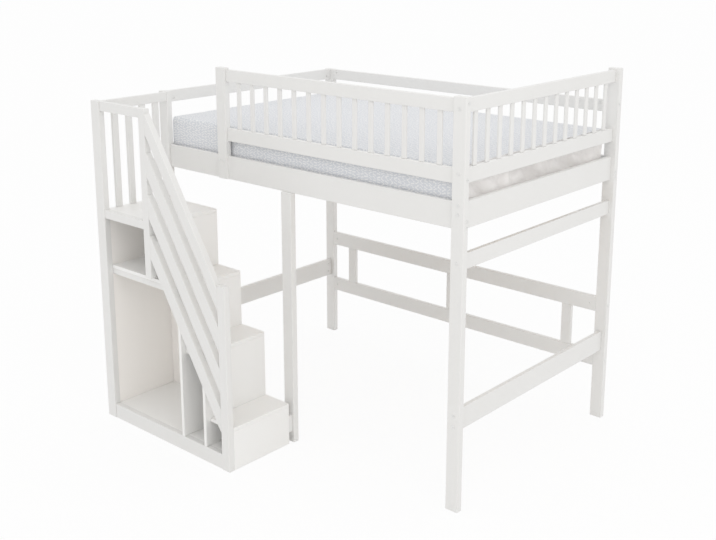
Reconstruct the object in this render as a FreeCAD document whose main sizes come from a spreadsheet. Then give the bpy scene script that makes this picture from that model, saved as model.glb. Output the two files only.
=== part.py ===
"""Loft bed with a storage stair: a white timber frame on tall posts, a box stair with cubbies, a mattress.

Millimetres. +X runs along the bed to the end without the stair, -Y is the front where the stair stands,
+Z is up, and the origin is on the floor under the middle of the whole object.
"""
import FreeCAD
import Part
import Sketcher
import math
import os
import re

os.makedirs("parts", exist_ok=True)
doc = FreeCAD.newDocument("LoftBed")

# Driving dimensions
SIZES = {
    # bed frame
    "post_wide": 65,
    "post_deep": 33,
    "edge_ease": 2.5,
    "rail_thick": 22,
    "side_rail_bottom": 1300,
    "side_rail_tall": 119,
    "guard_gap": 77,
    "guard_rail_tall": 66,
    "guard_slat_tall": 233,
    "top_rail_tall": 60,
    "top_rail_drop": 9,
    "low_guard_gap": 223,
    "end_middle_gap": 109,
    "end_middle_tall": 71,
    "end_low_bottom": 381,
    "end_low_tall": 103,
    "brace_low_bottom": 284,
    "brace_gap": 221,
    "brace_tall": 81,
    "brace_upright_wide": 57,
    "brace_upright_left": 128,
    "brace_upright_right": 143,
    "brace_upright_count": 3,
    "access_gap": 396,
    "guard_slat_wide": 26,
    "guard_slat_thick": 10,
    "front_slat_count": 14,
    "end_slat_count": 13,
    "leg_behind_stair": 56,
    # mattress base
    "cleat_tall": 30,
    "cleat_thick": 24,
    "slat_seat_rise": 54,
    "bed_slat_count": 13,
    "bed_slat_wide": 70,
    "bed_slat_thick": 16,
    "bed_slat_room": 1,
    # fasteners
    "bolt_thick": 6,
    "bolt_head_wide": 14,
    "bolt_head_tall": 2.2,
    "bolt_socket_wide": 5,
    "bolt_room": 0.5,
    "bolt_tail": 9,
    "nut_thick": 10,
    "nut_long": 14,
    "nut_setback": 32,
    "end_bolt_drop": 11,
    "end_pair_spread": 39,
    "side_bolt_rise": 15,
    "side_pair_spread": 24,
    "low_pair_spread": 50,
    "bolt_stagger": 24,
    "lap_bolt_rise": 95,
    "lap_nut_tall": 4,
    "screw_thick": 4,
    "screw_head_wide": 8,
    "screw_head_tall": 3,
    "screw_sink": 4,
    "screw_long": 34,
    "screw_room": 0.3,
    "dowel_thick": 8,
    "dowel_long": 40,
    "dowel_room": 0.2,
    # mattress, and the room round it inside the frame
    "mattress_long": 1900,
    "mattress_wide": 1200,
    "mattress_thick": 200,
    "mattress_corner": 8,
    "mattress_roll": 14,
    "mattress_crown": 8,
    "mattress_crown_inset": 300,
    "mattress_draw": 4,
    "mattress_seat": 0.3,
    "mattress_end_room": 6.5,
    "mattress_front_room": 10,
    "mattress_rear_room": 38,
    # stair
    "stair_reach": 426,
    "stair_gap": 24,
    "landing_long": 468,
    "stair_post_wide": 65,
    "stair_post_deep": 33,
    "landing_guard_tall": 558,
    "rail_post_inset": 38,
    "rail_post_wide": 46,
    "rail_post_gap": 9,
    "newel_wide": 52,
    "newel_tall": 932,
    "step_going": 167.3,
    "step_one_rise": 220,
    "step_two_rise": 340,
    "step_three_rise": 286,
    "landing_rise": 296,
    "board_thick": 18,
    "back_thick": 9,
    "step_rail_tall": 30,
    "base_tall": 78,
    "front_board_setback": 3,
    "apron_tall": 43,
    "landing_rail_tall": 48,
    "landing_rail_inset": 1,
    "landing_slat_count": 4,
    "landing_slat_wide": 34,
    "handrail_wide": 57,
    "handrail_drop": 17,
    "balustrade_wide": 66,
    "balustrade_foot": 189,
    "balustrade_count": 4,
    "tie_wide": 44,
    "tie_tall": 90,
    "tie_low_height": 60,
    "tie_drop": 20,
}

sheet = doc.addObject("Spreadsheet::Sheet", "dims")
for row, (alias, value) in enumerate(SIZES.items(), start=1):
    sheet.set("A%d" % row, alias)
    sheet.set("B%d" % row, str(value))
    sheet.setAlias("B%d" % row, alias)
doc.recompute()

# Named places, each worked out from the sheet and from the places above it
PLACES = {
    "bed_length": "mattress_long + 2 * mattress_end_room + rail_thick + post_wide",
    "bed_width": "mattress_wide + mattress_front_room + mattress_rear_room + 2 * post_deep",
    "whole_depth": "stair_reach + bed_width + bolt_head_tall",
    "left_end": "-bed_length / 2",
    "right_end": "bed_length / 2",
    "left_inner": "left_end + post_wide",
    "right_inner": "right_end - post_wide",
    "left_mid": "left_end + post_wide / 2",
    "right_mid": "right_end - post_wide / 2",
    "stair_front": "-whole_depth / 2",
    "bed_front": "stair_front + stair_reach",
    "bed_back": "bed_front + bed_width",
    "front_inner": "bed_front + post_deep",
    "back_inner": "bed_back - post_deep",
    "front_mid": "front_inner - rail_thick / 2",
    "back_mid": "back_inner + rail_thick / 2",
    "side_rail_top": "side_rail_bottom + side_rail_tall",
    "guard_rail_bottom": "side_rail_top + guard_gap",
    "guard_rail_top": "guard_rail_bottom + guard_rail_tall",
    "guard_rail_mid": "guard_rail_bottom + guard_rail_tall / 2",
    "top_rail_bottom": "guard_rail_top + guard_slat_tall",
    "top_rail_top": "top_rail_bottom + top_rail_tall",
    "top_rail_mid": "top_rail_bottom + top_rail_tall / 2",
    "high_post_tall": "top_rail_top + top_rail_drop",
    "low_guard_bottom": "side_rail_top + low_guard_gap",
    "low_guard_mid": "low_guard_bottom + top_rail_tall / 2",
    "low_post_tall": "low_guard_bottom + top_rail_tall",
    "end_middle_top": "side_rail_bottom - end_middle_gap",
    "end_middle_bottom": "end_middle_top - end_middle_tall",
    "end_middle_mid": "end_middle_top - end_middle_tall / 2",
    "end_low_top": "end_low_bottom + end_low_tall",
    "end_low_mid": "end_low_bottom + end_low_tall / 2",
    "brace_low_top": "brace_low_bottom + brace_tall",
    "brace_high_bottom": "brace_low_top + brace_gap",
    "brace_high_top": "brace_high_bottom + brace_tall",
    "brace_upright_start": "left_inner + brace_upright_left",
    "brace_upright_end": "right_inner - brace_upright_right - brace_upright_wide",
    "guard_post_left": "left_inner + access_gap",
    "guard_post_right": "guard_post_left + post_wide",
    "leg_left": "stair_right - leg_behind_stair",
    "leg_mid": "leg_left + post_wide / 2",
    "leg_right": "leg_left + post_wide",
    "slat_seat": "side_rail_bottom + slat_seat_rise",
    "slat_top": "slat_seat + bed_slat_thick",
    "screw_head_seat": "slat_top - screw_sink",
    "mattress_middle": "front_inner + mattress_front_room + mattress_wide / 2",
    "stair_inner": "stair_front + stair_post_deep",
    "stair_back": "bed_front - stair_gap",
    "stair_post_right": "left_end + stair_post_wide",
    "riser_four_right": "left_end + landing_long",
    "riser_four_left": "riser_four_right - board_thick",
    "riser_three_right": "riser_four_right + step_going",
    "riser_three_left": "riser_three_right - board_thick",
    "riser_two_right": "riser_three_right + step_going",
    "riser_two_left": "riser_two_right - board_thick",
    "stair_right": "riser_two_right + step_going",
    "riser_one_left": "stair_right - board_thick",
    "newel_left": "stair_right - newel_wide",
    "rail_post_right": "riser_four_right - rail_post_inset",
    "rail_post_left": "rail_post_right - rail_post_wide",
    "rail_post_bottom": "step_three_height + rail_post_gap",
    "guard_side_right": "stair_post_right - landing_rail_inset",
    "guard_side_left": "guard_side_right - rail_thick",
    "guard_side_mid": "guard_side_right - rail_thick / 2",
    "side_panel_left": "guard_side_mid - board_thick / 2",
    "side_panel_right": "guard_side_mid + board_thick / 2",
    "front_board_front": "stair_front + front_board_setback",
    "floor_bottom": "base_tall - board_thick",
    "step_one_height": "step_one_rise",
    "step_two_height": "step_one_height + step_two_rise",
    "step_three_height": "step_two_height + step_three_rise",
    "landing_height": "step_three_height + landing_rise",
    "step_one_under": "step_one_height - board_thick",
    "step_two_under": "step_two_height - board_thick",
    "step_three_under": "step_three_height - board_thick",
    "landing_under": "landing_height - board_thick",
    "stair_post_tall": "landing_height + landing_guard_tall",
    "upper_tie_top": "landing_under - tie_drop",
    "balustrade_rise": "stair_post_tall - newel_tall",
    "balustrade_run": "newel_left - rail_post_right",
    "balustrade_lean": "sqrt(1 + (balustrade_rise / balustrade_run) ^ 2)",
    "balustrade_top": "newel_tall - handrail_drop",
    "handrail_upright": "handrail_wide * balustrade_lean",
    "handrail_low": "balustrade_top - handrail_upright",
    "balustrade_upright": "balustrade_wide * balustrade_lean",
    "balustrade_pitch": "(handrail_low - balustrade_foot) / (balustrade_count - 1)",
}
WORD = re.compile(r"[a-z]\w*")


def spell(text):
    """Writes an expression out in sheet cells, with every named place replaced by its own expression."""
    def word(match):
        name = match.group(0)
        if name in PLACES:
            return "(%s)" % spell(PLACES[name])
        return "dims." + name if name in SIZES else name
    return WORD.sub(word, str(text))


def bind(thing, **properties):
    """Binds an object's properties to expressions."""
    for name, text in properties.items():
        thing.setExpression(name, spell(text))


def put(thing, at):
    """Binds where an object stands."""
    for axis, text in zip("xyz", at):
        thing.setExpression("Placement.Base." + axis, spell(text))


def count(alias):
    """The whole number in a cell of the sheet."""
    return int(sheet.get(alias))


AXES = {"x": FreeCAD.Vector(1, 0, 0), "y": FreeCAD.Vector(0, 1, 0), "z": FreeCAD.Vector(0, 0, 1)}
NODES = []


def node(thing):
    """Keeps a finished piece for the parts folder."""
    NODES.append(thing)
    return thing


def rod(kind, owner, name, axis, sign, at, thick, long):
    """A round feature or primitive that starts at a point and runs along an axis."""
    thing = owner.newObject(kind, name) if owner else doc.addObject(kind, name)
    thing.Placement.Rotation = FreeCAD.Rotation(AXES["z"], AXES[axis] * sign)
    bind(thing, Radius="(%s) / 2" % thick, Height=long)
    put(thing, at)
    return thing


def board(label, x, y, z):
    """A squared timber with eased edges, between two places along each axis."""
    body = doc.addObject("PartDesign::Body", label)
    body.Label = label
    block = body.newObject("PartDesign::AdditiveBox", label + "_block")
    spans = {"Length": x, "Width": y, "Height": z}
    bind(block, **{name: "(%s) - (%s)" % (high, low) for name, (low, high) in spans.items()})
    put(block, (x[0], y[0], z[0]))
    ease = body.newObject("PartDesign::Fillet", label + "_ease")
    ease.Base = (block, [""])
    ease.UseAllEdges = True
    bind(ease, Radius="edge_ease")
    body.Tip = ease
    return body


def bore(body, axis, sign, at, thick, deep):
    """Drills a round hole into a board, from a point along an axis."""
    name = "%s_hole_%d" % (body.Label, len(body.Group))
    body.Tip = rod("PartDesign::SubtractiveCylinder", body, name, axis, sign, at, thick, deep)
    body.Tip.Refine = False


def combine(kind, name, base, tool):
    """A fuse or a cut of two shapes."""
    thing = doc.addObject(kind, name)
    thing.Base = base
    thing.Tool = tool
    thing.Refine = False
    return thing


def group(label, members):
    """Identical pieces that share one node."""
    together = doc.addObject("Part::Compound", label)
    together.Label = label
    together.Links = members
    return node(together)


# Posts
def post(label, x, y, top):
    """A post that stands on the floor."""
    return node(board(label, x, y, ("0", top)))


left_span = ("left_end", "left_inner")
right_span = ("right_inner", "right_end")
front_span = ("bed_front", "front_inner")
back_span = ("back_inner", "bed_back")
front_left_post = post("front_left_post", left_span, front_span, "low_post_tall")
front_right_post = post("front_right_post", right_span, front_span, "high_post_tall")
rear_left_post = post("rear_left_post", left_span, back_span, "low_post_tall")
rear_right_post = post("rear_right_post", right_span, back_span, "high_post_tall")
front_middle_leg = post("front_middle_leg", ("leg_left", "leg_right"), front_span, "side_rail_bottom")


# Rails along the sides, flush with the inner faces of the posts
def front_rail(label, left, z):
    """A rail along the front, up to the right post."""
    return node(board(label, (left, "right_inner"), ("front_inner - rail_thick", "front_inner"), z))


def rear_rail(label, z):
    """A rail along the rear, from post to post."""
    return node(board(label, ("left_inner", "right_inner"), ("back_inner", "back_inner + rail_thick"), z))


side_span = ("side_rail_bottom", "side_rail_top")
guard_span = ("guard_rail_bottom", "guard_rail_top")
top_span = ("top_rail_bottom", "top_rail_top")
low_guard_span = ("low_guard_bottom", "low_post_tall")
end_low_span = ("end_low_bottom", "end_low_top")
front_side_rail = front_rail("front_side_rail", "left_inner", side_span)
front_guard_bottom_rail = front_rail("front_guard_bottom_rail", "guard_post_right", guard_span)
front_guard_top_rail = front_rail("front_guard_top_rail", "guard_post_right", top_span)
rear_side_rail = rear_rail("rear_side_rail", side_span)
rear_guard_rail = rear_rail("rear_guard_rail", low_guard_span)
rear_brace_lower_rail = rear_rail("rear_brace_lower_rail", ("brace_low_bottom", "brace_low_top"))
rear_brace_upper_rail = rear_rail("rear_brace_upper_rail", ("brace_high_bottom", "brace_high_top"))


# Rails across the ends, in the middle of the posts
def end_rail(label, middle, z):
    """A rail across one end, from the front post to the rear post."""
    across = ("%s - rail_thick / 2" % middle, "%s + rail_thick / 2" % middle)
    return node(board(label, across, ("front_inner", "back_inner"), z))


left_end_bed_rail = end_rail("left_end_bed_rail", "left_mid", side_span)
left_end_guard_rail = end_rail("left_end_guard_rail", "left_mid", low_guard_span)
left_end_low_rail = end_rail("left_end_low_rail", "left_mid", end_low_span)
right_end_bed_rail = end_rail("right_end_bed_rail", "right_mid", side_span)
right_end_top_rail = end_rail("right_end_top_rail", "right_mid", top_span)
right_end_guard_bottom_rail = end_rail("right_end_guard_bottom_rail", "right_mid", guard_span)
right_end_middle_rail = end_rail(
    "right_end_middle_rail", "right_mid", ("end_middle_bottom", "end_middle_top"))
right_end_low_rail = end_rail("right_end_low_rail", "right_mid", end_low_span)

# Front guard post, notched over the outside of the side rail
front_guard_post = board(
    "front_guard_post", ("guard_post_left", "guard_post_right"), front_span,
    ("side_rail_bottom", "high_post_tall"))
notch = front_guard_post.newObject("PartDesign::SubtractiveBox", "guard_post_notch")
bind(notch, Length="post_wide", Width="rail_thick", Height="side_rail_tall")
put(notch, ("guard_post_left", "front_inner - rail_thick", "side_rail_bottom"))
notch.Refine = False
front_guard_post.Tip = notch
node(front_guard_post)


# Upright slats, evenly spaced between two places
def spread(alias, wide, low, high):
    """Yields where each of a row of equal pieces starts and ends, with equal gaps all along."""
    number = count(alias)
    gap = "((%s) - (%s) - %d * %s) / %d" % (high, low, number, wide, number + 1)
    for i in range(number):
        start = "%s + %d * (%s) + %d * %s" % (low, i + 1, gap, i, wide)
        yield i + 1, start, "%s + %s" % (start, wide)


def slat_span(middle):
    """The two faces of a guard slat."""
    return "%s - guard_slat_thick / 2" % middle, "%s + guard_slat_thick / 2" % middle


guard_slat_span = ("guard_rail_top", "top_rail_bottom")
group("front_guard_slats", [
    board("front_guard_slat_%d" % i, (left, right), slat_span("front_mid"), guard_slat_span)
    for i, left, right in spread("front_slat_count", "guard_slat_wide", "guard_post_right", "right_inner")])
group("right_end_guard_slats", [
    board("right_end_guard_slat_%d" % i, slat_span("right_mid"), (front, back), guard_slat_span)
    for i, front, back in spread("end_slat_count", "guard_slat_wide", "front_inner", "back_inner")])
uprights = []
number = count("brace_upright_count")
for i in range(number):
    left = "brace_upright_start + (brace_upright_end - brace_upright_start) * %d / %d" % (i, number - 1)
    uprights.append(board(
        "rear_brace_upright_%d" % (i + 1), (left, "%s + brace_upright_wide" % left),
        ("back_inner", "back_inner + rail_thick"), ("brace_low_top", "brace_high_bottom")))
group("rear_brace_uprights", uprights)

# Mattress base: a cleat along each side rail, cross slats and their screws
cleat_span = ("slat_seat - cleat_tall", "slat_seat")
front_cleat = node(board("front_slat_cleat", ("left_inner", "right_inner"),
                         ("front_inner", "front_inner + cleat_thick"), cleat_span))
rear_cleat = node(board("rear_slat_cleat", ("left_inner", "right_inner"),
                        ("back_inner - cleat_thick", "back_inner"), cleat_span))
slats = []
screws = []
for i, left, right in spread("bed_slat_count", "bed_slat_wide", "left_inner", "right_inner"):
    across = ("front_inner + bed_slat_room", "back_inner - bed_slat_room")
    slat = board("bed_slat_%d" % i, (left, right), across,
                 ("slat_seat", "slat_top"))
    slats.append(slat)
    for side, cleat, y in (("front", front_cleat, "front_inner + cleat_thick / 2"),
                           ("rear", rear_cleat, "back_inner - cleat_thick / 2")):
        at = ("%s + bed_slat_wide / 2" % left, y)
        bore(slat, "z", -1, at + ("slat_top",), "screw_head_wide + 2 * screw_room", "screw_sink")
        bore(slat, "z", -1, at + ("slat_top",), "screw_thick + 2 * screw_room", "bed_slat_thick")
        bore(cleat, "z", -1, at + ("slat_seat",), "screw_thick + 2 * screw_room",
             "screw_long - bed_slat_thick + screw_sink + screw_room")
        name = "slat_screw_%s_%d" % (side, i)
        seat = at + ("screw_head_seat",)
        shank = rod("Part::Cylinder", None, name + "_shank", "z", -1, seat, "screw_thick", "screw_long")
        head = rod("Part::Cylinder", None, name + "_head", "z", 1, seat, "screw_head_wide", "screw_head_tall")
        screws.append(combine("Part::Fuse", name, head, shank))
group("bed_slats", slats)
group("slat_screws", screws)

# Bolts through the posts, each with a barrel nut across the rail that it pulls up
bolts = []
nuts = []


def bolt(name, axis, sign, at, long):
    """A bolt with a flat round head outside a point, a hexagon socket, and a shank that runs inwards."""
    shank = rod("Part::Cylinder", None, name + "_shank", axis, sign, at, "bolt_thick", long)
    head = rod("Part::Cylinder", None, name + "_head", axis, -sign, at, "bolt_head_wide", "bolt_head_tall")
    whole = combine("Part::Fuse", name + "_whole", head, shank)
    socket = doc.addObject("Part::Prism", name + "_socket")
    socket.Polygon = 6
    socket.Placement.Rotation = FreeCAD.Rotation(AXES["z"], AXES[axis] * -sign)
    bind(socket, Circumradius="bolt_socket_wide / 2", Height="bolt_head_tall")
    put(socket, at)
    bolts.append(combine("Part::Cut", name, whole, socket))


def barrel_nut(name, axis, at, bolt_axis, bolt_sign):
    """A cross dowel, drilled through for its bolt, with its middle at a point."""
    ends = dict(zip("xyz", at))
    ends[axis] = "%s - nut_long / 2" % ends[axis]
    barrel = rod("Part::Cylinder", None, name + "_barrel", axis, 1, ends.values(), "nut_thick", "nut_long")
    ends = dict(zip("xyz", at))
    ends[bolt_axis] = "%s - %d * nut_thick" % (ends[bolt_axis], bolt_sign)
    hole = rod("Part::Cylinder", None, name + "_hole", bolt_axis, bolt_sign, ends.values(),
               "bolt_thick + bolt_room", "2 * nut_thick")
    nuts.append(combine("Part::Cut", name, barrel, hole))


def fasten(post_body, rail_body, axis, sign, outer, seam, across, inward, height):
    """Bolts a post to a rail's end, from the post's outer face, past the seam, into the rail."""
    name = "frame_bolt_%d" % (len(bolts) + 1)
    cross = "y" if axis == "x" else "x"

    def at(along, aside):
        spot = {axis: along, cross: aside, "z": height}
        return tuple(spot[letter] for letter in "xyz")
    through = "%d * ((%s) - (%s))" % (sign, seam, outer)
    bore(post_body, axis, sign, at(outer, across), "bolt_thick + bolt_room", through)
    bore(rail_body, axis, sign, at(seam, across), "bolt_thick + bolt_room",
         "nut_setback + bolt_tail + bolt_room")
    middle = "%s + %d * nut_setback" % (seam, sign)
    face = "%s + %d * rail_thick / 2" % (across, inward)
    bore(rail_body, cross, -inward, at(middle, face), "nut_thick + bolt_room",
         "(rail_thick + nut_long + bolt_room) / 2")
    bolt(name, axis, sign, at(outer, across), "%s + nut_setback + bolt_tail" % through)
    barrel_nut("barrel_nut_%d" % len(bolts), cross, at(middle, across), axis, sign)


def fasten_end(posts, rail_body, middle, inward, heights):
    """Bolts both ends of a rail that runs across the bed."""
    front, rear = posts
    for height in heights:
        fasten(front, rail_body, "y", 1, "bed_front", "front_inner", middle, inward, height)
        fasten(rear, rail_body, "y", -1, "bed_back", "back_inner", middle, inward, height)


def fasten_side(posts, rail_body, middle, inward, heights):
    """Bolts both ends of a rail that runs along the bed."""
    left, right = posts
    for height in heights:
        fasten(left, rail_body, "x", 1, "left_end", "left_inner", middle, inward, height)
        fasten(right, rail_body, "x", -1, "right_end", "right_inner", middle, inward, height)


left_posts = (front_left_post, rear_left_post)
right_posts = (front_right_post, rear_right_post)
rear_posts = (rear_left_post, rear_right_post)
end_pair = ["side_rail_top - end_bolt_drop", "side_rail_top - end_bolt_drop - end_pair_spread"]
side_pair = ["side_rail_bottom + side_bolt_rise", "side_rail_bottom + side_bolt_rise + side_pair_spread"]
low_pair = ["end_low_mid - low_pair_spread / 2", "end_low_mid + low_pair_spread / 2"]
fasten_end(left_posts, left_end_bed_rail, "left_mid", 1, end_pair)
fasten_end(left_posts, left_end_guard_rail, "left_mid", 1, ["low_guard_mid - bolt_stagger / 2"])
fasten_end(left_posts, left_end_low_rail, "left_mid", 1, low_pair)
fasten_end(right_posts, right_end_bed_rail, "right_mid", -1, end_pair)
fasten_end(right_posts, right_end_guard_bottom_rail, "right_mid", -1, ["guard_rail_mid + bolt_stagger / 2"])
fasten_end(right_posts, right_end_top_rail, "right_mid", -1, ["top_rail_mid - bolt_stagger / 2"])
fasten_end(right_posts, right_end_middle_rail, "right_mid", -1, ["end_middle_mid"])
fasten_end(right_posts, right_end_low_rail, "right_mid", -1, low_pair)
fasten_side((front_left_post, front_right_post), front_side_rail, "front_mid", 1, side_pair)
fasten_side(rear_posts, rear_side_rail, "back_mid", -1, side_pair)
fasten_side(rear_posts, rear_guard_rail, "back_mid", -1, ["low_guard_mid + bolt_stagger / 2"])
fasten_side(rear_posts, rear_brace_lower_rail, "back_mid", -1, ["brace_low_bottom + brace_tall / 2"])
fasten_side(rear_posts, rear_brace_upper_rail, "back_mid", -1, ["brace_high_bottom + brace_tall / 2"])
for rail_body, height in ((front_guard_bottom_rail, "guard_rail_mid - bolt_stagger / 2"),
                          (front_guard_top_rail, "top_rail_mid + bolt_stagger / 2")):
    fasten(front_guard_post, rail_body, "x", 1, "guard_post_left", "guard_post_right", "front_mid", 1, height)
    fasten(front_right_post, rail_body, "x", -1, "right_end", "right_inner", "front_mid", 1, height)

# Two bolts and round nuts hold the guard post's lap to the side rail
lap_nuts = []
for i, x in enumerate(("guard_post_left + post_wide / 4", "guard_post_right - post_wide / 4"), start=1):
    height = "side_rail_bottom + lap_bolt_rise"
    hole = "bolt_thick + bolt_room"
    bore(front_guard_post, "y", 1, (x, "bed_front", height), hole, "post_deep - rail_thick")
    bore(front_side_rail, "y", 1, (x, "front_inner - rail_thick", height), hole, "rail_thick")
    bolt("lap_bolt_%d" % i, "y", 1, (x, "bed_front", height), "post_deep + lap_nut_tall")
    name = "lap_nut_%d" % i
    at = (x, "front_inner", height)
    disc = rod("Part::Cylinder", None, name + "_disc", "y", 1, at, "bolt_head_wide", "lap_nut_tall")
    hole = rod("Part::Cylinder", None, name + "_hole", "y", 1, at, "bolt_thick + bolt_room", "lap_nut_tall")
    lap_nuts.append(combine("Part::Cut", name, disc, hole))
group("frame_bolts", bolts)
group("barrel_nuts", nuts)
group("guard_post_nuts", lap_nuts)

# Two dowels stand between the middle leg and the side rail above it
dowels = []
for i, x in enumerate(("leg_left + post_wide / 4", "leg_right - post_wide / 4"), start=1):
    at = (x, "front_mid", "side_rail_bottom")
    deep = "dowel_long / 2 + dowel_room"
    bore(front_middle_leg, "z", -1, at, "dowel_thick + 2 * dowel_room", deep)
    bore(front_side_rail, "z", 1, at, "dowel_thick + 2 * dowel_room", deep)
    foot = (x, "front_mid", "side_rail_bottom - dowel_long / 2")
    dowels.append(rod("Part::Cylinder", None, "leg_dowel_%d" % i, "z", 1, foot, "dowel_thick", "dowel_long"))
group("leg_dowels", dowels)


# Stair: posts in front, boards and panels behind them
def stair_board(label, x, z):
    """A board of the stair's box, from behind its front posts to its back."""
    return node(board(label, x, ("stair_inner", "stair_back"), z))


def front_board(label, x, z):
    """A board between the stair's front posts, close to their front faces."""
    return node(board(label, x, ("front_board_front", "stair_inner"), z))


stair_depth = ("stair_front", "stair_inner")
node(board("stair_front_left_post", ("left_end", "stair_post_right"), stair_depth, ("0", "stair_post_tall")))
node(board("stair_balustrade_post", ("rail_post_left", "rail_post_right"), stair_depth,
           ("rail_post_bottom", "stair_post_tall")))
node(board("stair_newel_post", ("newel_left", "stair_right"), stair_depth, ("0", "newel_tall")))
stair_board("stair_left_panel", ("side_panel_left", "side_panel_right"), ("0", "landing_under"))
stair_board("stair_floor_panel", ("side_panel_right", "riser_one_left"), ("floor_bottom", "base_tall"))
front_board("stair_base_rail", ("stair_post_right", "newel_left"), ("0", "base_tall"))
node(board("stair_rear_base_rail", ("side_panel_right", "riser_one_left"),
           ("stair_back - rail_thick", "stair_back"), ("0", "floor_bottom")))
stair_board("riser_one_panel", ("riser_one_left", "stair_right"), ("0", "step_one_under"))
stair_board("riser_four_panel", ("riser_four_left", "riser_four_right"),
            ("step_three_height", "landing_under"))
stair_board("step_one_board", ("riser_two_right", "stair_right"), ("step_one_under", "step_one_height"))
stair_board("step_two_board", ("riser_three_right", "riser_two_right"), ("step_two_under", "step_two_height"))
stair_board("step_three_board", ("side_panel_right", "riser_three_right"),
            ("step_three_under", "step_three_height"))
stair_board("landing_board", ("side_panel_left", "riser_four_right"), ("landing_under", "landing_height"))
front_board("landing_apron", ("stair_post_right", "rail_post_left"),
            ("landing_height - apron_tall", "landing_height"))

# Cubbies, from the highest to the lowest: left, right, floor and the underside of the board above
CUBBIES = {
    "upper": ("side_panel_right", "riser_four_left", "step_three_height", "landing_under"),
    "large": ("side_panel_right", "riser_three_left", "base_tall", "step_three_under"),
    "middle": ("riser_three_right", "riser_two_left", "base_tall", "step_two_under"),
    "small": ("riser_two_right", "riser_one_left", "base_tall", "step_one_under"),
}
group("stair_back_panels", [
    board(name + "_cubby_back", (left, right), ("stair_back - back_thick", "stair_back"), (bottom, top))
    for name, (left, right, bottom, top) in CUBBIES.items()])
rails = []
for name in ("large", "middle"):
    left, right, bottom, top = CUBBIES[name]
    rails.append(board(name + "_cubby_rail", (left, right), ("stair_inner", "stair_inner + board_thick"),
                       ("%s - step_rail_tall" % top, top)))
group("step_front_rails", rails)

# Landing guard: a rail in front, and a rail with slats on the left that runs back to the bed's post
landing_rail = ("stair_post_tall - landing_rail_tall", "stair_post_tall")
rail_setback = "(stair_post_deep - rail_thick) / 2"
node(board("landing_front_guard_rail", ("stair_post_right", "rail_post_left"),
           ("stair_front + %s" % rail_setback, "stair_inner - %s" % rail_setback), landing_rail))
node(board("landing_left_guard_rail", ("guard_side_left", "guard_side_right"),
           ("stair_inner", "bed_front"), landing_rail))
group("landing_left_guard_slats", [
    board("landing_left_guard_slat_%d" % i, ("side_panel_left", "side_panel_right"), (front, back),
          ("landing_height", landing_rail[0]))
    for i, front, back in spread("landing_slat_count", "landing_slat_wide", "stair_inner", "bed_front")])


# Balustrade: slanted boards between the balustrade post and the newel, the top one the handrail
def slanted_board(label, low, upright_size, eased=True):
    """A board with upright ends, as thick as its posts, whose lower edge meets the newel at a height."""
    body = doc.addObject("PartDesign::Body", label)
    body.Label = label
    put(body, ("rail_post_right", "stair_front", low))
    outline = body.newObject("Sketcher::SketchObject", label + "_outline")
    upright_plane = [plane for plane in body.Origin.OriginFeatures if plane.Role == "XZ_Plane"][0]
    outline.AttachmentSupport = (upright_plane, "")
    outline.MapMode = "FlatFace"
    # a rough start for the solver, before the constraints set the real size
    rise, upright, run = 800, 150, 450
    corners = [(0, rise), (0, rise + upright), (run, upright), (run, 0)]
    start = [FreeCAD.Vector(x, y, 0) for x, y in corners]
    for i in range(4):
        outline.addGeometry(Part.LineSegment(start[i], start[(i + 1) % 4]), False)
    for i in range(4):
        outline.addConstraint(Sketcher.Constraint("Coincident", i, 2, (i + 1) % 4, 1))
    outline.addConstraint(Sketcher.Constraint("Vertical", 0))
    outline.addConstraint(Sketcher.Constraint("Vertical", 2))
    outline.addConstraint(Sketcher.Constraint("PointOnObject", 0, 1, -2))
    outline.addConstraint(Sketcher.Constraint("PointOnObject", 3, 1, -1))
    sizes = {
        "drop": (Sketcher.Constraint("DistanceY", -1, 1, 0, 1, rise), "balustrade_rise"),
        "near": (Sketcher.Constraint("DistanceY", 0, 1, 0, 2, upright), upright_size),
        "far": (Sketcher.Constraint("DistanceY", 2, 2, 2, 1, upright), upright_size),
        "run": (Sketcher.Constraint("DistanceX", -1, 1, 3, 1, run), "balustrade_run"),
    }
    for name, (constraint, text) in sizes.items():
        outline.renameConstraint(outline.addConstraint(constraint), name)
        outline.setExpression("Constraints." + name, spell(text))
    pad = body.newObject("PartDesign::Pad", label + "_pad")
    pad.Profile = outline
    pad.Reversed = True
    bind(pad, Length="stair_post_deep")
    body.Tip = pad
    if eased:
        ease = body.newObject("PartDesign::Fillet", label + "_ease")
        ease.Base = (pad, [""])
        ease.UseAllEdges = True
        bind(ease, Radius="edge_ease")
        body.Tip = ease
    return body


node(slanted_board("balustrade_handrail", "handrail_low", "handrail_upright"))
group("balustrade_boards", [
    slanted_board("balustrade_board_%d" % i, "handrail_low - %d * balustrade_pitch" % i, "balustrade_upright")
    for i in range(1, count("balustrade_count"))])

# Two risers also divide the cubbies: they come forward below the balustrade, and are notched round it
notch = slanted_board("balustrade_notch", "balustrade_foot", "balustrade_top - balustrade_foot", eased=False)
for name, top in (("riser_two", "step_two_under"), ("riser_three", "step_three_under")):
    panel = board(name + "_board", (name + "_left", name + "_right"), ("front_board_front", "stair_back"),
                  ("base_tall", top))
    divider = combine("Part::Cut", name + "_panel", panel, notch)
    divider.Label = name + "_panel"
    node(divider)

# Blocks that tie the stair to the bed: one high on the front left post, one low on the middle leg
tie_span = ("stair_back", "bed_front")
node(board("upper_tie_block", ("guard_side_mid - tie_wide / 2", "guard_side_mid + tie_wide / 2"), tie_span,
           ("upper_tie_top - tie_tall", "upper_tie_top")))
node(board("lower_tie_block", ("leg_mid - tie_wide / 2", "leg_mid + tie_wide / 2"), tie_span,
           ("tie_low_height", "tie_low_height + tie_tall")))


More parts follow.
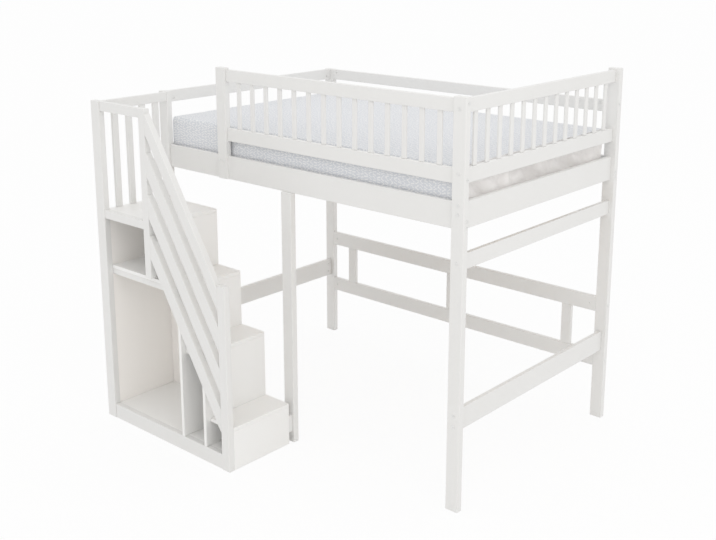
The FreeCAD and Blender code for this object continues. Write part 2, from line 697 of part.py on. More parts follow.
# Mattress: stacked outlines with rounded corners and drawn-in sides, rolled edges and a crowned top
def mattress_outline(inset, height):
    """An outline whose four sides are drawn in between its rounded corners, at a height above the slats."""
    half_x = sheet.mattress_long / 2 - inset
    half_y = sheet.mattress_wide / 2 - inset
    corner = sheet.mattress_corner
    draw = sheet.mattress_draw
    round_off = corner * (1 - math.sqrt(0.5))

    long_end = half_x - corner
    short_end = half_y - corner
    round_x = half_x - round_off
    round_y = half_y - round_off
    # half the outline, as start, middle and end of each arc; the other half is the same turned about
    half = [
        ((-long_end, -half_y), (0, -half_y + draw), (long_end, -half_y)),
        ((long_end, -half_y), (round_x, -round_y), (half_x, -short_end)),
        ((half_x, -short_end), (half_x - draw, 0), (half_x, short_end)),
        ((half_x, short_end), (round_x, round_y), (long_end, half_y)),
    ]
    return Part.Wire([
        Part.Arc(*[FreeCAD.Vector(turn * x, turn * y, height) for x, y in points]).toShape()
        for turn in (1, -1) for points in half])


roll = sheet.mattress_roll
shoulder = sheet.mattress_thick - sheet.mattress_crown
crown_inset = sheet.mattress_crown_inset
# the roll of an edge, as shares of its inset and its height, from the flat face to the side
ROLL = [(0.6, 0), (0.15, 0.4), (0, 1)]
# the crown, as shares of its inset and its rise, from the rolled edge inwards
CROWN = [(0.33, 0.55), (0.7, 0.88), (1, 1)]
outlines = [(roll * aside, roll * up) for aside, up in ROLL]
outlines += [(roll * aside, shoulder - roll * down) for aside, down in reversed(ROLL)]
outlines += [(crown_inset * aside, shoulder + sheet.mattress_crown * up) for aside, up in CROWN]
mattress = doc.addObject("Part::Feature", "mattress")
mattress.Label = "mattress"
mattress.Shape = Part.makeLoft([mattress_outline(inset, height) for inset, height in outlines], True, True)
put(mattress, ("0", "mattress_middle", "slat_top + mattress_seat"))
node(mattress)

# Build, check every object, then write each node
doc.recompute()
for thing in doc.Objects:
    if "Invalid" in thing.State or "Error" in thing.State:
        raise RuntimeError("%s failed: %s" % (thing.Label, thing.State))
for piece in NODES:
    if piece.Shape.isNull() or not piece.Shape.isValid() or not piece.Shape.Solids:
        raise RuntimeError("%s has no valid solid" % piece.Label)
for piece in NODES:
    piece.Shape.exportStep("parts/%s.step" % piece.Label)
print("%d nodes, %d solids" % (len(NODES), sum(len(piece.Shape.Solids) for piece in NODES)))
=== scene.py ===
# %% [markdown]
# A white loft bed with a box stair, dressed for a studio picture.
#
# The bed's timber comes in as finished solids, each one a named node in metres. This lesson adds what
# solids don't have: paint with a trace of grain under it, lacquered board, sawn pine, zinc plate, and a
# mattress whose printed cover is soft. It starts with the frame, because every other piece takes its
# place from it.

# %% The frame
import math

import bmesh
import bpy
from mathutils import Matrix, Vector, noise


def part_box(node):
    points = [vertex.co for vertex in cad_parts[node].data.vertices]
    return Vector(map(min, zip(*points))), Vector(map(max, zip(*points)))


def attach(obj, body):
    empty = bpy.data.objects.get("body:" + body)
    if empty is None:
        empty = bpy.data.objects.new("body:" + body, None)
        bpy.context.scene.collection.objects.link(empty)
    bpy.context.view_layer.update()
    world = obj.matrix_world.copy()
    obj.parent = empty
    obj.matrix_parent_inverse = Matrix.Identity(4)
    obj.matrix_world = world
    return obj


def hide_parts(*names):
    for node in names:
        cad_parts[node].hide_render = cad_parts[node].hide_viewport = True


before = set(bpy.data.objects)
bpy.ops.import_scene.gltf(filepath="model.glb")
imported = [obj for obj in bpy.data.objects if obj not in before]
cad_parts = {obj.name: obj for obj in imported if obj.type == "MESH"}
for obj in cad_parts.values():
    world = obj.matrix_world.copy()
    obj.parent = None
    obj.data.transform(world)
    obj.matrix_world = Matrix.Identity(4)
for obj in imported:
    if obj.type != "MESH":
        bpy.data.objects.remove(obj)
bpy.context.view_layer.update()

# %% [markdown]
# The camera stands where the photographer stood: a little above the guard rail, off the right front
# corner. The lens and the shift come from fitting the bed's straight edges to the picture, so the
# uprights converge downwards just as much as they do there. Shift moves the picture on the sensor
# without turning the camera.

# %% The camera
PICTURE_WIDE = 716
PICTURE_TALL = 540
FOCAL_PIXELS = 1057.43
AXIS_PIXEL = (360.43, 189.12)
SENSOR_WIDE = 36.0
FARTHEST_SEEN = 300.0
CAMERA_PLACE = (3.48919, -3.89933, 2.50034)
LOOK_DOWN = 0.235471
LOOK_LEFT = 0.725235

view = bpy.data.cameras.new("studio_camera")
view.sensor_fit = "HORIZONTAL"
view.sensor_width = SENSOR_WIDE
view.lens = FOCAL_PIXELS * SENSOR_WIDE / PICTURE_WIDE
view.shift_x = (PICTURE_WIDE / 2 - AXIS_PIXEL[0]) / PICTURE_WIDE
view.shift_y = (AXIS_PIXEL[1] - PICTURE_TALL / 2) / PICTURE_WIDE
view.clip_end = FARTHEST_SEEN
camera = bpy.data.objects.new("studio_camera", view)
camera.location = CAMERA_PLACE
camera.rotation_euler = (math.pi / 2 - LOOK_DOWN, 0.0, LOOK_LEFT)
bpy.context.scene.collection.objects.link(camera)
bpy.context.scene.camera = camera
print("lens:", round(view.lens, 2), "mm")

# %% [markdown]
# Materials are trees of nodes, and the same steps come back each time: a new material with one shader,
# a node whose inputs are filled, a sum, and a colour between two others. A short helper for each keeps
# the recipes below as readable as a list of ingredients.

# %% Helpers for materials
def new_material(name):
    """A material with one Principled shader; returns both."""
    material = bpy.data.materials.new(name)
    material.use_nodes = True
    tree = material.node_tree
    tree.nodes.clear()
    shader = tree.nodes.new("ShaderNodeBsdfPrincipled")
    output = tree.nodes.new("ShaderNodeOutputMaterial")
    tree.links.new(shader.outputs["BSDF"], output.inputs["Surface"])
    return material, shader


def fill(material, node, inputs):
    """Fills a node's inputs with plain values, or with other nodes' outputs."""
    for name, value in inputs.items():
        if isinstance(value, bpy.types.NodeSocket):
            material.node_tree.links.new(value, node.inputs[name])
        else:
            node.inputs[name].default_value = value


def add(material, kind, inputs=None, **settings):
    """Adds a node of a kind, sets it, fills its inputs and returns it."""
    node = material.node_tree.nodes.new("ShaderNode" + kind)
    for name, value in settings.items():
        setattr(node, name, value)
    fill(material, node, inputs or {})
    return node


def sums(material, operation, *values):
    """The result of a Math node."""
    node = add(material, "Math", operation=operation)
    for i, value in enumerate(values):
        fill(material, node, {i: value})
    return node.outputs["Value"]


def between(material, amount, low, high):
    """A colour between two colours, each of them three numbers or another node's output."""
    node = add(material, "MixRGB", {"Fac": amount})
    for name, colour in (("Color1", low), ("Color2", high)):
        value = colour if isinstance(colour, bpy.types.NodeSocket) else (*colour, 1.0)
        fill(material, node, {name: value})
    return node.outputs["Color"]


# %% [markdown]
# The posts and rails are pine under satin white paint. Close up, such paint is not one white: it is a
# touch warmer in some places than in others, long grain shows through as faint ridges, and the roller
# leaves a fine texture. The ridges have to run along each timber, so there is one paint for each
# direction that timbers take.

# %% White paint on timber
PAINT_WARM = (0.808, 0.800, 0.781)
PAINT_COOL = (0.832, 0.828, 0.816)
GRAIN = {"x": (3.0, 75.0, 75.0), "y": (75.0, 3.0, 75.0), "z": (75.0, 75.0, 3.0)}
GRAIN_RELIEF = 0.22
MOTTLE_SCALE = 2.4
ROLLER_SCALE = 420.0
PATCH_SCALE = 14.0
SATIN = (0.36, 0.47)


def paint_over(material, shader, where, ridges, relief, warm, cool):
    """The parts that every white finish here shares: mottled colour, uneven gloss and roller texture."""
    mottle = add(material, "TexNoise", {
        "Vector": where, "Scale": MOTTLE_SCALE, "Detail": 4.0, "Roughness": 0.55})
    roller = add(material, "TexNoise", {"Vector": where, "Scale": ROLLER_SCALE, "Detail": 2.0})
    patches = add(material, "TexNoise", {"Vector": where, "Scale": PATCH_SCALE, "Detail": 3.0})
    gloss = add(material, "MapRange", {
        "Value": patches.outputs["Fac"], "From Min": 0.3, "From Max": 0.7,
        "To Min": SATIN[0], "To Max": SATIN[1]})
    first = add(material, "Bump", {"Height": ridges, "Strength": relief, "Distance": 0.0015})
    second = add(material, "Bump", {
        "Height": roller.outputs["Fac"], "Strength": 0.06, "Distance": 0.0006,
        "Normal": first.outputs["Normal"]})
    fill(material, shader, {
        "Base Color": between(material, mottle.outputs["Fac"], warm, cool),
        "Roughness": gloss.outputs["Result"], "Normal": second.outputs["Normal"],
        "Coat Weight": 0.12, "Coat Roughness": 0.3})


def painted_timber(name, along, lean=0.0):
    """White paint with grain along an axis, which may lean about Y first."""
    material, shader = new_material(name)
    where = add(material, "TexCoord").outputs["Object"]
    leaned = add(material, "Mapping", {"Vector": where, "Rotation": (0.0, lean, 0.0)}).outputs["Vector"]
    drawn_out = add(material, "Mapping", {"Vector": leaned, "Scale": GRAIN[along]}).outputs["Vector"]
    ridges = add(material, "TexNoise", {
        "Vector": drawn_out, "Scale": 1.0, "Detail": 6.0, "Roughness": 0.62, "Distortion": 0.5})
    paint_over(material, shader, where, ridges.outputs["Fac"], GRAIN_RELIEF, PAINT_WARM, PAINT_COOL)
    return material


rail_low, rail_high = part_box("balustrade_handrail")
stair_slope = math.atan2(rail_high.z - rail_low.z, rail_high.x - rail_low.x)
paint = {
    "x": painted_timber("white_paint_lengthwise", "x"),
    "y": painted_timber("white_paint_crosswise", "y"),
    "z": painted_timber("white_paint_upright", "z"),
    "slanted": painted_timber("white_paint_slanted", "x", -stair_slope),
}
print("paints:", sorted(paint), "stair slope:", round(math.degrees(stair_slope), 1), "degrees")

# %% [markdown]
# The stair's panels, treads and backs are flat board, lacquered white. There is no grain under the
# lacquer, only a soft unevenness like the skin of an orange, so the ridges become a broad, shallow
# noise. On the side and the thin backs, the faces that look into the cubbies get a warmer, brighter
# white. That is painted light, standing in for the light that fills the cubbies. The direction of a
# face tells whether it is one of those.

# %% White lacquer on board
LACQUER_WARM = (0.908, 0.900, 0.880)
LACQUER_COOL = (0.930, 0.926, 0.914)
# Painted light: the faces that look into the cubbies take this brighter, warmer white in place of the light
# that fills them.
PAINTED_LIGHT_WARM = (0.980, 0.950, 0.915)
PAINTED_LIGHT_COOL = (0.990, 0.964, 0.932)
INTO_CUBBIES = (1.0, -1.0, 0.0)
SKIN_SCALE = 90.0
SKIN_RELIEF = 0.1


def lacquered(name, with_painted_light=False):
    """White lacquer on flat board. The second kind gives its faces to the right and the front a warmer,
    brighter white: painted light for the light that fills the cubbies.
    """
    material, shader = new_material(name)
    where = add(material, "TexCoord").outputs["Object"]
    skin = add(material, "TexNoise", {"Vector": where, "Scale": SKIN_SCALE, "Detail": 2.0})
    warm = LACQUER_WARM
    cool = LACQUER_COOL
    # Painted light: faces turned to the right or the front, into the cubbies, take the brighter white.
    if with_painted_light:
        outwards = add(material, "NewGeometry").outputs["True Normal"]
        into = add(material, "VectorMath", {0: outwards, 1: INTO_CUBBIES}, operation="DOT_PRODUCT")
        inside = sums(material, "GREATER_THAN", into.outputs["Value"], 0.5)
        warm = between(material, inside, LACQUER_WARM, PAINTED_LIGHT_WARM)
        cool = between(material, inside, LACQUER_COOL, PAINTED_LIGHT_COOL)
    paint_over(material, shader, where, skin.outputs["Fac"], SKIN_RELIEF, warm, cool)
    return material


lacquered_board = lacquered("white_lacquered_board")
lacquer_with_painted_light = lacquered("white_lacquer_with_painted_light", with_painted_light=True)
print("boards:", lacquered_board.name, lacquer_with_painted_light.name)

# %% [markdown]
# The mattress lies on bare pine slats, which show from below. Sawn pine has wide pale bands of early
# wood with narrow darker lines between them, wandering along the board, and short fibres that catch the
# light.

# %% Sawn pine
PINE_PALE = (0.660, 0.480, 0.285)
PINE_DARK = (0.430, 0.265, 0.130)
PINE_BANDS = (26.0, 1.1, 26.0)
PINE_FIBRES = (700.0, 18.0, 700.0)
sawn_pine, pine_shader = new_material("sawn_pine")
pine_where = add(sawn_pine, "TexCoord").outputs["Object"]
pine_drawn = add(sawn_pine, "Mapping", {"Vector": pine_where, "Scale": PINE_BANDS})
pine_bands = add(sawn_pine, "TexWave", {
    "Vector": pine_drawn.outputs["Vector"], "Scale": 1.1, "Distortion": 5.0, "Detail": 3.0,
    "Detail Scale": 1.2})
pine_combed = add(sawn_pine, "Mapping", {"Vector": pine_where, "Scale": PINE_FIBRES})
pine_fibre = add(sawn_pine, "TexNoise", {
    "Vector": pine_combed.outputs["Vector"], "Scale": 1.0, "Detail": 3.0})
pine_lines = sums(sawn_pine, "POWER", pine_bands.outputs["Fac"], 3.0)
pine_amount = sums(sawn_pine, "MULTIPLY_ADD", pine_lines, 0.55, sums(
    sawn_pine, "MULTIPLY", pine_fibre.outputs["Fac"], 0.3))
pine_bump = add(sawn_pine, "Bump", {
    "Height": pine_fibre.outputs["Fac"], "Strength": 0.25, "Distance": 0.0008})
fill(sawn_pine, pine_shader, {
    "Base Color": between(sawn_pine, pine_amount, PINE_PALE, PINE_DARK),
    "Roughness": 0.62, "Normal": pine_bump.outputs["Normal"]})
print("pine:", sawn_pine.name)

# %% [markdown]
# Bolts, nuts and screws are zinc plated steel: a soft grey metal with faint cloudy spangles, brighter
# than bare steel. Metal takes its look from what it mirrors, so the roughness varies and the colour
# hardly does.

# %% Zinc plate
ZINC_DULL = (0.82, 0.82, 0.81)
ZINC_BRIGHT = (0.90, 0.90, 0.89)
zinc_plate, zinc_shader = new_material("zinc_plate")
zinc_where = add(zinc_plate, "TexCoord").outputs["Object"]
zinc_cloud = add(zinc_plate, "TexNoise", {"Vector": zinc_where, "Scale": 260.0, "Detail": 4.0})
zinc_gloss = add(zinc_plate, "MapRange", {
    "Value": zinc_cloud.outputs["Fac"], "To Min": 0.25, "To Max": 0.5})
zinc_bump = add(zinc_plate, "Bump", {
    "Height": zinc_cloud.outputs["Fac"], "Strength": 0.1, "Distance": 0.0003})
fill(zinc_plate, zinc_shader, {
    "Base Color": between(zinc_plate, zinc_cloud.outputs["Fac"], ZINC_DULL, ZINC_BRIGHT),
    "Metallic": 1.0, "Roughness": zinc_gloss.outputs["Result"], "Normal": zinc_bump.outputs["Normal"]})
print("zinc:", zinc_plate.name)

# %% [markdown]
# Each node of the frame now gets the finish that it has on the real bed; the stair's left panel and
# backs also carry painted light on the faces that look into the cubbies. The names tell which way a
# timber runs, so most of the list is by name, and a count at the end shows that nothing is left bare.

# %% Finishes for the frame
PANELS = [
    "stair_floor_panel", "riser_one_panel", "riser_two_panel", "riser_three_panel", "riser_four_panel",
    "step_one_board", "step_two_board", "step_three_board", "landing_board"]
# The left panel and the backs carry painted light on their faces into the cubbies.
PANELS_WITH_PAINTED_LIGHT = ["stair_left_panel", "stair_back_panels"]
LENGTHWISE = [
    "front_side_rail", "front_guard_bottom_rail", "front_guard_top_rail", "rear_side_rail",
    "rear_guard_rail", "rear_brace_lower_rail", "rear_brace_upper_rail", "front_slat_cleat",
    "rear_slat_cleat", "stair_base_rail", "stair_rear_base_rail", "landing_apron",
    "landing_front_guard_rail", "step_front_rails"]
CROSSWISE = [
    "left_end_bed_rail", "left_end_guard_rail", "left_end_low_rail", "right_end_bed_rail",
    "right_end_top_rail", "right_end_guard_bottom_rail", "right_end_middle_rail", "right_end_low_rail",
    "landing_left_guard_rail", "upper_tie_block", "lower_tie_block"]
UPRIGHT = [
    "front_left_post", "front_right_post", "rear_left_post", "rear_right_post", "front_middle_leg",
    "front_guard_post", "front_guard_slats", "right_end_guard_slats", "rear_brace_uprights",
    "stair_front_left_post", "stair_balustrade_post", "stair_newel_post", "landing_left_guard_slats"]
SLANTED = ["balustrade_handrail", "balustrade_boards"]
BARE_PINE = ["bed_slats", "leg_dowels"]
PLATED = ["frame_bolts", "barrel_nuts", "guard_post_nuts", "slat_screws"]
FINISHES = [
    (PANELS, lacquered_board), (PANELS_WITH_PAINTED_LIGHT, lacquer_with_painted_light), (LENGTHWISE, paint["x"]), (CROSSWISE, paint["y"]),
    (UPRIGHT, paint["z"]), (SLANTED, paint["slanted"]), (BARE_PINE, sawn_pine), (PLATED, zinc_plate)]

dressed = set()
for names, material in FINISHES:
    for name in names:
        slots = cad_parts[name].data.materials
        slots.clear()
        slots.append(material)
        dressed.add(name)
print("dressed:", len(dressed), "left:", sorted(set(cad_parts) - dressed))

# %% [markdown]
# The mattress cover is woven cotton in a pale blue grey with small white strokes printed all over it.
# The strokes are worked out in the shader: the cloth is divided into small cells, each second column is
# shifted by half a cell, and every cell holds one short wavy stroke. White noise gives each cell its
# own bend and height, because a print whose cells are all alike runs together into stripes from a
# distance. The cells follow a UV map in metres, so the print goes over the edges of the mattress as
# cloth does.

# %% The printed cover
COVER_GROUND = (0.728, 0.747, 0.783)
COVER_PRINT = (0.930, 0.930, 0.930)
COVER_PLAIN = (0.915, 0.890, 0.872)
CELL_LONG = 0.0245
CELL_TALL = 0.0130
SWAY = 0.012
STROKE_EDGE = (0.17, 0.27)
STROKE_END = (0.36, 0.44)
printed_cover, cover_shader = new_material("printed_cover")
cover_map = add(printed_cover, "UVMap", uv_map="cloth").outputs["UV"]
cover_sway = add(printed_cover, "TexNoise", {"Vector": cover_map, "Scale": 30.0, "Detail": 2.0})
cover_uv = add(printed_cover, "VectorMath", operation="MULTIPLY_ADD")
fill(printed_cover, cover_uv, {0: cover_sway.outputs["Color"], 1: (SWAY, SWAY, 0.0), 2: cover_map})
cover_axes = add(printed_cover, "SeparateXYZ", {"Vector": cover_uv.outputs["Vector"]})

across = sums(printed_cover, "DIVIDE", cover_axes.outputs["X"], CELL_LONG)
column = sums(printed_cover, "FLOOR", across)
half_drop = sums(printed_cover, "MULTIPLY", sums(printed_cover, "FLOORED_MODULO", column, 2.0), 0.5)
upward = sums(printed_cover, "ADD", sums(
    printed_cover, "DIVIDE", cover_axes.outputs["Y"], CELL_TALL), half_drop)
along_cell = sums(printed_cover, "SUBTRACT", sums(printed_cover, "FRACT", across), 0.5)
up_cell = sums(printed_cover, "SUBTRACT", sums(printed_cover, "FRACT", upward), 0.5)
cell_index = add(printed_cover, "CombineXYZ", {"X": column, "Y": sums(printed_cover, "FLOOR", upward)})
own = add(printed_cover, "TexWhiteNoise", {"Vector": cell_index.outputs["Vector"]})
own_parts = add(printed_cover, "SeparateXYZ", {"Vector": own.outputs["Color"]})
bend = sums(printed_cover, "SUBTRACT", own_parts.outputs["X"], 0.5)
lift = sums(printed_cover, "MULTIPLY_ADD", own_parts.outputs["Y"], 0.3, -0.15)
wave = sums(printed_cover, "MULTIPLY_ADD", sums(printed_cover, "SINE", sums(
    printed_cover, "MULTIPLY", along_cell, 2.0 * math.pi)), bend, lift)
off_stroke = sums(printed_cover, "ABSOLUTE", sums(printed_cover, "SUBTRACT", up_cell, wave))
stroke = add(printed_cover, "MapRange", {
    "Value": off_stroke, "From Min": STROKE_EDGE[0], "From Max": STROKE_EDGE[1],
    "To Min": 1.0, "To Max": 0.0})
ends = add(printed_cover, "MapRange", {
    "Value": sums(printed_cover, "ABSOLUTE", along_cell),
    "From Min": STROKE_END[0], "From Max": STROKE_END[1], "To Min": 1.0, "To Max": 0.0})
inked = sums(printed_cover, "MULTIPLY", stroke.outputs["Result"], ends.outputs["Result"])
print("strokes:", CELL_LONG, "by", CELL_TALL, "m")

# %% [markdown]
# Under the print lies a plain weave. Two crossed waves, with a thread each half a millimetre, give the
# threads, and a slow noise makes some of them thicker. Cotton also has a little fuzz, which the
# shader's sheen gives at flat angles.

# %% The weave
THREAD_PAIR = 0.0011
turns = 2.0 * math.pi / THREAD_PAIR
warp = sums(printed_cover, "SINE", sums(printed_cover, "MULTIPLY", cover_axes.outputs["X"], turns))
weft = sums(printed_cover, "SINE", sums(printed_cover, "MULTIPLY", cover_axes.outputs["Y"], turns))
threads = sums(printed_cover, "MULTIPLY", warp, weft)
slubs = add(printed_cover, "TexNoise", {"Vector": cover_map, "Scale": 120.0, "Detail": 3.0})
raised = sums(printed_cover, "ADD", threads, slubs.outputs["Fac"])
weave_bump = add(printed_cover, "Bump", {"Height": raised, "Strength": 0.3, "Distance": 0.0006})
strength = sums(printed_cover, "MULTIPLY", inked, sums(
    printed_cover, "MULTIPLY_ADD", slubs.outputs["Fac"], 0.5, 0.55))
printed_colour = between(printed_cover, strength, COVER_GROUND, COVER_PRINT)
plain_end = add(printed_cover, "Attribute", attribute_name="plain_end").outputs["Fac"]
fill(printed_cover, cover_shader, {
    "Base Color": between(printed_cover, plain_end, printed_colour, COVER_PLAIN),
    "Roughness": 0.88, "Normal": weave_bump.outputs["Normal"],
    "Sheen Weight": 0.25, "Sheen Roughness": 0.5})
print("cover:", printed_cover.name)

# %% [markdown]
# The mattress itself is foam in that cover, a block with narrow rolled edges, sides that draw in a
# little and a top that is slightly crowned. The frame's own solid already has that form, but as long
# thin triangles, and cloth needs even quads. A remesh in voxels would round the narrow edges away. So a
# block is bevelled and divided into quads here, and a Shrinkwrap modifier draws it onto the solid.

# %% The mattress, from its solid
CELL = 0.0162
ROLL = 0.010
ROLL_SEGMENTS = 3
PROUD = 0.0015
STRAIGHT = 0.99
low_corner, high_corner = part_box("mattress")
middle = (low_corner + high_corner) / 2
extent = high_corner - low_corner


def evaluated_mesh(thing):
    """A piece's mesh with its modifiers worked in."""
    seen = thing.evaluated_get(bpy.context.evaluated_depsgraph_get())
    return bpy.data.meshes.new_from_object(seen)


def divide_along(form, axis):
    """Divides the long edges that run along an axis, so that the cells there are about CELL long."""
    long_edges = []
    for edge in form.edges:
        run = edge.verts[1].co - edge.verts[0].co
        if abs(run[axis]) > STRAIGHT * run.length > 2 * ROLL:
            long_edges.append(edge)
    cuts = round((extent[axis] - 2 * ROLL) / CELL) - 1
    bmesh.ops.subdivide_edges(form, edges=long_edges, cuts=cuts, use_grid_fill=True)


form = bmesh.new()
bmesh.ops.create_cube(form, size=1.0)
bmesh.ops.scale(form, vec=extent, verts=form.verts)
bmesh.ops.translate(form, vec=middle, verts=form.verts)
bmesh.ops.bevel(
    form, geom=form.edges[:], offset=ROLL, segments=ROLL_SEGMENTS, profile=0.5, affect="EDGES", material=-1)
for axis in range(3):
    divide_along(form, axis)
mattress_mesh = bpy.data.meshes.new("mattress_cover")
form.to_mesh(mattress_mesh)
form.free()
mattress = bpy.data.objects.new("mattress_cover", mattress_mesh)
bpy.context.scene.collection.objects.link(mattress)

drawn_on = mattress.modifiers.new("drawn_on", "SHRINKWRAP")
drawn_on.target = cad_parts["mattress"]
drawn_on.wrap_method = "NEAREST_SURFACEPOINT"
drawn_on.offset = PROUD
drawn_on.wrap_mode = "ABOVE_SURFACE"
mattress.data = evaluated_mesh(mattress)
mattress.modifiers.clear()
corners = sorted({len(face.vertices) for face in mattress.data.polygons})
print("mattress:", len(mattress.data.polygons), "faces with", corners, "corners")

# %% [markdown]
# Pressure from inside fills the cover as the foam does. The underside is pinned, because it lies on the
# slats. No point may move by more than a few millimetres, and none inwards: the foam holds the edges
# out, though the swelling top pulls at them. So the mattress keeps its place between the rails.

# %% Filling the cover
LARGEST_MOVE = 0.0035
SETTLED_FRAME = 20
PINNED_HEIGHT = 0.03
PRESSURE = 4.0
STIFFNESS = 20.0


def fill_cover(thing):
    """Runs the cloth simulation and keeps its result, within the largest move."""
    before = [vertex.co.copy() for vertex in thing.data.vertices]
    normals = [vertex.normal.copy() for vertex in thing.data.vertices]
    pinned = thing.vertex_groups.new(name="underside")
    lowest = [i for i, place in enumerate(before) if place.z < low_corner.z + PINNED_HEIGHT]
    pinned.add(lowest, 1.0, "REPLACE")
    cloth = thing.modifiers.new("cover", "CLOTH")
    cloth.settings.quality = 5
    cloth.settings.mass = 0.3
    cloth.settings.tension_stiffness = STIFFNESS
    cloth.settings.compression_stiffness = STIFFNESS
    cloth.settings.bending_stiffness = 0.5
    cloth.settings.use_pressure = True
    cloth.settings.uniform_pressure_force = PRESSURE
    cloth.settings.vertex_group_mass = "underside"
    cloth.settings.effector_weights.gravity = 0.0
    cloth.point_cache.frame_start = 1
    cloth.point_cache.frame_end = SETTLED_FRAME
    scene = bpy.context.scene
    for step in range(1, SETTLED_FRAME + 1):
        scene.frame_set(step)
    settled = evaluated_mesh(thing)
    thing.modifiers.clear()
    thing.vertex_groups.clear()
    for vertex, old, outwards, new in zip(thing.data.vertices, before, normals, settled.vertices):
        move = new.co - old
        move -= outwards * min(0.0, move.dot(outwards))
        if move.length > LARGEST_MOVE:
            move = move.normalized() * LARGEST_MOVE
        vertex.co = old + move
    bpy.data.meshes.remove(settled)
    scene.frame_set(1)


fill_cover(mattress)
print("mattress top:", round(max(vertex.co.z for vertex in mattress.data.vertices), 4))

# %% [markdown]
# At the right end the cover is a plain, looser panel, and hangs in soft folds. They are pressed in:
# each point of that end moves inwards by an amount that depends on two slow noises along the end,
# most in the middle of the height and not at all on the crown. The first gives broad hollows. The
# second is folded at zero, which draws narrow creases between them, and at the foot the panel is tucked
# under. How far a point belongs to that panel is kept as an attribute, and the cover's shader reads it
# to leave the print out there. A finer ripple all over keeps the foam from looking machined. Last, no
# point may lie lower than the slats that the mattress rests on.

# %% Folds and ripples
HOLLOW_DEPTH = 0.014
CREASE_DEPTH = 0.022
TUCK_DEPTH = 0.016
RIPPLE = 0.0014
HOLLOWS = (7.3, 6.0, 4.0)
CREASES = (2.1, 11.0, 6.0)
CREASE_SHARPNESS = 4.5
FOLD_LEAN = 0.6
RIPPLE_WAVES = 9.0
EASED = 0.25


def fold_noise(waves, sideways, up):
    """A slow noise over the end panel, from its start and its waves per metre sideways and up."""
    return noise.noise(Vector((waves[0], sideways * waves[1], up * waves[2])))


form = bmesh.new()
form.from_mesh(mattress.data)
form.normal_update()
plain = form.verts.layers.float.new("plain_end")
for vertex in form.verts:
    place = vertex.co.copy()
    facing_right = max(0.0, vertex.normal.x)
    height = (place.z - low_corner.z) / (high_corner.z - low_corner.z)
    slack = facing_right * math.sin(math.pi * min(max(height, 0.0), 1.0))
    leaned = place.y + FOLD_LEAN * (place.z - middle.z)
    hollow = fold_noise(HOLLOWS, leaned, place.z)
    crease = 1.0 - min(1.0, CREASE_SHARPNESS * abs(fold_noise(CREASES, leaned, place.z)))
    tuck = facing_right * max(0.0, 1.0 - 2.0 * height) * (0.6 + hollow)
    vertex.co.x -= slack * (HOLLOW_DEPTH * max(0.0, 0.5 + hollow) + CREASE_DEPTH * crease)
    vertex.co.x -= TUCK_DEPTH * max(0.0, tuck)
    ripple = RIPPLE * (1.0 - abs(vertex.normal.x)) * noise.noise(place * RIPPLE_WAVES)
    vertex.co += vertex.normal * ripple
    vertex[plain] = min(1.0, max(0.0, 4.0 * facing_right - 1.6))
bmesh.ops.smooth_vert(
    form, verts=form.verts, factor=EASED, use_axis_x=True, use_axis_y=True, use_axis_z=True)
for vertex in form.verts:
    vertex.co.z = max(vertex.co.z, low_corner.z)
form.to_mesh(mattress.data)
form.free()
print("folds up to", HOLLOW_DEPTH + CREASE_DEPTH, "m deep on the right end")

# %% [markdown]
# The print needs its UV map. A cover is cut as one sheet with a dart at each corner, so the map unrolls
# the sides outwards from the top, and each face takes the side that it faces most. U and V are metres
# on the cloth.

# %% The cover's UV map
TOP_ROLL = 0.014
roll_height = high_corner.z - TOP_ROLL


def on_cloth(place, normal):
    """Where a point lies on the flat sheet."""
    down = roll_height - place.z
    facing = max(range(3), key=lambda axis: abs(normal[axis]))
    if facing == 0:
        return place.x + math.copysign(down, normal.x), place.y
    if facing == 1:
        return place.x, place.y + math.copysign(down, normal.y)
    return place.x, place.y


form = bmesh.new()
form.from_mesh(mattress.data)
form.normal_update()
cloth_map = form.loops.layers.uv.new("cloth")
for face in form.faces:
    face.smooth = True
    for loop in face.loops:
        loop[cloth_map].uv = on_cloth(loop.vert.co, face.normal)
form.to_mesh(mattress.data)
form.free()

mattress.data.materials.append(printed_cover)
soft = mattress.modifiers.new("soft", "SUBSURF")
soft.levels = 1
soft.render_levels = 1
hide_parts("mattress")
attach(mattress, "mattress")
print("cover faces:", len(mattress.data.polygons))

# %% [markdown]
# The studio is a white sweep. The floor is a wide pale sheet. Seen directly it is mostly its own white,
# so that it runs into the background, and the rest of it takes the bed's soft shadow.

# %% Floor
FLOOR_SIZE = 120.0
FLOOR_DROP = 0.0005
FLOOR_WHITE = 0.94
FLOOR_GLOW = 0.9
form = bmesh.new()
bmesh.ops.create_grid(form, x_segments=2, y_segments=2, size=FLOOR_SIZE / 2)
floor_mesh = bpy.data.meshes.new("studio_floor")
form.to_mesh(floor_mesh)
form.free()
floor = bpy.data.objects.new("studio_floor", floor_mesh)
floor.location.z = -FLOOR_DROP
bpy.context.scene.collection.objects.link(floor)


def seen_directly(material):
    """1 for a ray that the camera, a mirror or glass sends, and 0 for light on its way."""
    path = add(material, "LightPath").outputs
    mirrored = sums(material, "MAXIMUM", path["Is Glossy Ray"], path["Is Transmission Ray"])
    return sums(material, "MAXIMUM", path["Is Camera Ray"], mirrored)


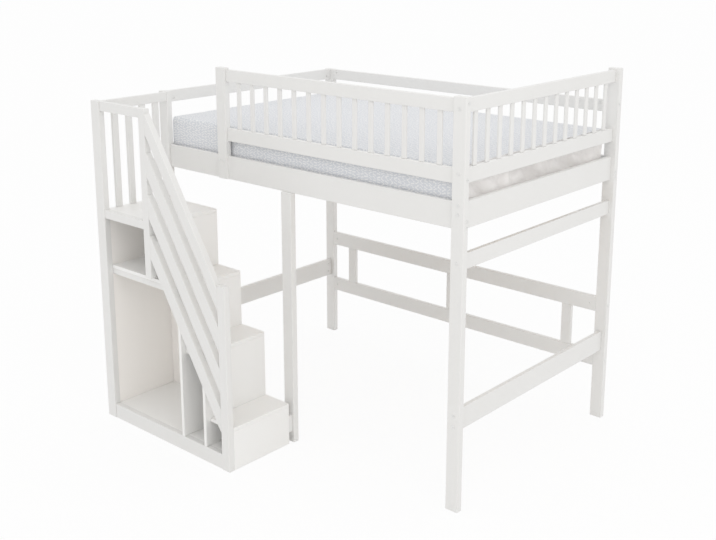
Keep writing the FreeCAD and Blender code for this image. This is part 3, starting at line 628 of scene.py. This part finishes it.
pale_floor, floor_shader = new_material("pale_floor")
fill(pale_floor, floor_shader, {
    "Base Color": (FLOOR_WHITE, FLOOR_WHITE, FLOOR_WHITE, 1.0), "Roughness": 0.9, "Specular IOR Level": 0.1})
floor_glow = add(pale_floor, "Emission", {"Color": (1.0, 1.0, 1.0, 1.0), "Strength": 1.0})
floor_mix = add(pale_floor, "MixShader", {
    0: sums(pale_floor, "MULTIPLY", seen_directly(pale_floor), FLOOR_GLOW),
    1: floor_shader.outputs["BSDF"], 2: floor_glow.outputs["Emission"]})
floor_end = [node for node in pale_floor.node_tree.nodes if node.type == "OUTPUT_MATERIAL"][0]
fill(pale_floor, floor_end, {"Surface": floor_mix.outputs["Shader"]})
floor_mesh.materials.append(pale_floor)
print("floor:", FLOOR_SIZE, "m")

# %% [markdown]
# The world is an even white light, a trace brighter where it is seen directly. One large lamp from the
# right front makes the right faces a little brighter than the front ones.

# %% Light
SKY_LIGHT = 0.915
SKY_SEEN = 1.0
KEY_PLACE = (3.6, -2.6, 4.6)
KEY_AIM = (0.0, 0.0, 0.9)
KEY_SIZE = 4.0
KEY_POWER = 44.0
KEY_COLOUR = (1.0, 0.985, 0.96)
world = bpy.data.worlds.new("white_studio")
world.use_nodes = True
bpy.context.scene.world = world
sky = world.node_tree.nodes["Background"]
sky.inputs["Color"].default_value = (1.0, 1.0, 1.0, 1.0)
directly = seen_directly(world)
fill(world, sky, {"Strength": sums(world, "MULTIPLY_ADD", directly, SKY_SEEN - SKY_LIGHT, SKY_LIGHT)})


def lamp(name, at, aim, size, power, colour):
    """A square area lamp at a place, turned to a point."""
    light = bpy.data.lights.new(name, "AREA")
    light.size = size
    light.energy = power
    light.color = colour
    thing = bpy.data.objects.new(name, light)
    thing.location = at
    thing.rotation_euler = (Vector(aim) - Vector(at)).to_track_quat("-Z", "Y").to_euler()
    bpy.context.scene.collection.objects.link(thing)
    return thing


key = lamp("key_lamp", KEY_PLACE, KEY_AIM, KEY_SIZE, KEY_POWER, KEY_COLOUR)
print("lamps:", key.name)

# %% [markdown]
# Colours should come out as they were written, so the plain Standard view transform is used.

# %% Finish
bpy.context.scene.view_settings.view_transform = "Standard"
